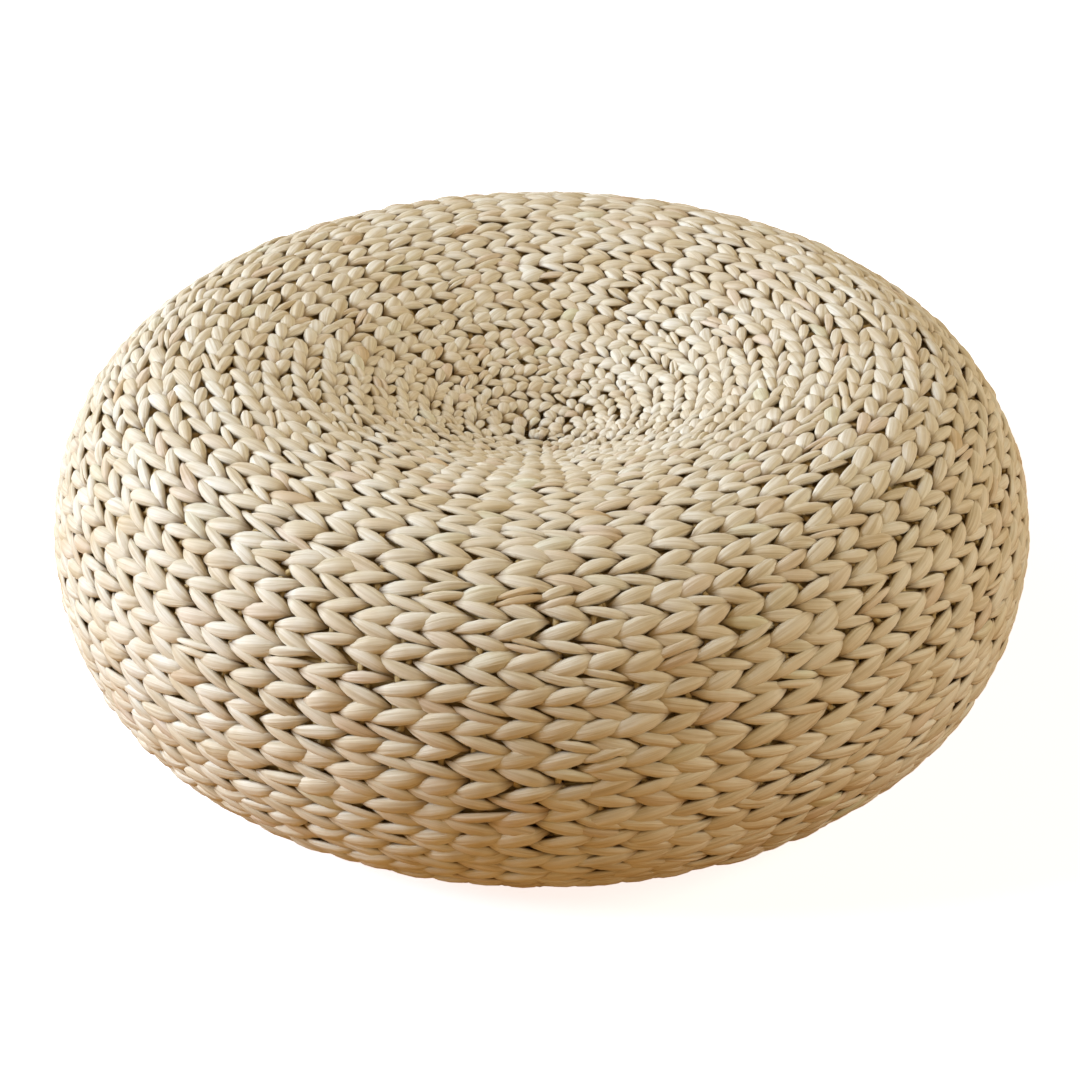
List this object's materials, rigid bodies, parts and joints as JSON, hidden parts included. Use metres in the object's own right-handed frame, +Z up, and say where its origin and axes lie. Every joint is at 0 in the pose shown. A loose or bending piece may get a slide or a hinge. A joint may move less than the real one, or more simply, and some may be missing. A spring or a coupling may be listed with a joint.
{
  "type": "floor cushion",
  "caption": "Round floor cushion with a dished seat: a twined husk cover over warp strands, laced to a twined base, stuffed with straw.",
  "frame": {"origin": "on the cushion's axis, at the flat underside that rests on the floor", "axes": "+Z up along the cushion's axis; X and Y are two level directions, -Y the side seen in front"},
  "size_m": [0.45, 0.45, 0.15],
  "materials": {
    "husk": "satin",
    "warp_husk": "matte",
    "jute": "matte",
    "cotton": "matte",
    "straw": "matte"
  },
  "bodies": {
    "root": {"start_knot": "husk", "woven_cover": "husk", "edge_braid": "husk", "base_panel": "husk", "base_knot": "husk", "base_lacing": "jute", "warp_spokes": "warp_husk", "base_warp_spokes": "warp_husk", "bag_top": "cotton", "bag_bottom": "cotton", "rim_roll": "straw", "centre_pad": "straw", "base_pad": "straw"}
  },
  "joints": []
}
